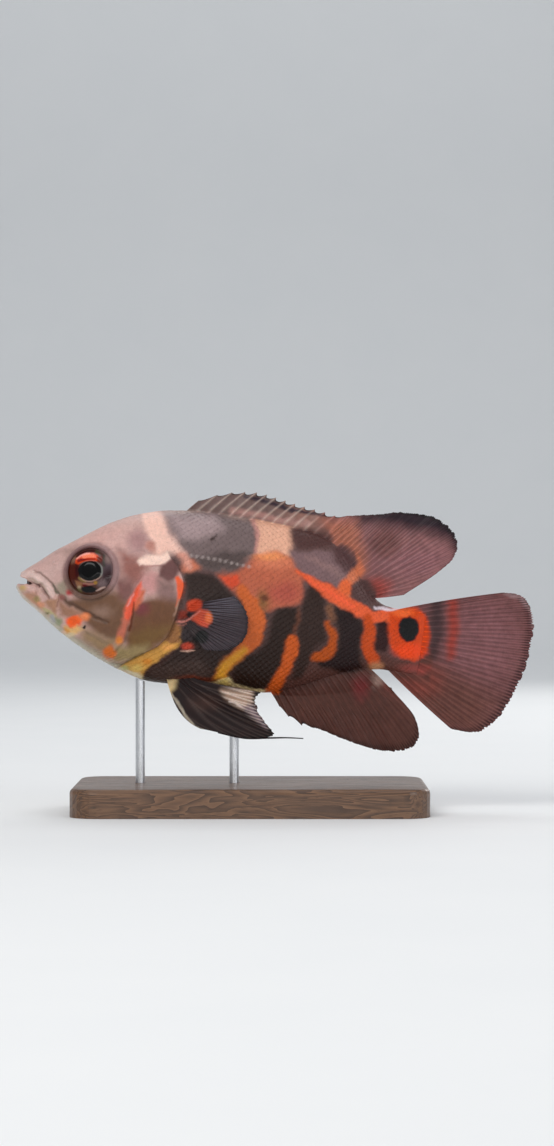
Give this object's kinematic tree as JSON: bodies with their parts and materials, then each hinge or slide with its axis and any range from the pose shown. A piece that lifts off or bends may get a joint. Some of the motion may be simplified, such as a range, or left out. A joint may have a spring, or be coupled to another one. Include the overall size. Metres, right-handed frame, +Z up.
{
  "type": "oscar fish",
  "caption": "Life-size still model of a young swimming oscar fish with spread fins, held level by two short rods over a flat base.",
  "frame": {"origin": "centre of the flat underside of the stand's base", "axes": "+Z up; +X along the fish from its mouth to its tail fin, which is the longest extent; the fish's left side faces -Y and its right side +Y"},
  "size_m": [0.1665, 0.064, 0.1008],
  "materials": {
    "head": "satin painted skin",
    "gill_cover_left": "satin painted skin",
    "gill_cover_right": "satin painted skin",
    "torso": "satin painted skin",
    "tail": "satin painted skin",
    "dorsal_fin": "satin",
    "anal_fin": "satin",
    "caudal_fin": "satin",
    "pectoral_fins": "satin",
    "pelvic_fins": "satin",
    "eyes": "wet gloss",
    "stand_wood": "waxed dark wood",
    "stand_steel": "brushed"
  },
  "bodies": {
    "root": {"head": "head", "gill_cover_left": "gill_cover_left", "gill_cover_right": "gill_cover_right", "torso": "torso", "tail": "tail", "dorsal_fin": "dorsal_fin", "anal_fin": "anal_fin", "caudal_fin": "caudal_fin", "pectoral_fin_left": "pectoral_fins", "pectoral_fin_right": "pectoral_fins", "pelvic_fin_left": "pelvic_fins", "pelvic_fin_right": "pelvic_fins", "eye_left": "eyes", "eye_right": "eyes", "stand_base": "stand_wood", "stand_rod_front": "stand_steel", "stand_rod_rear": "stand_steel"}
  },
  "joints": []
}
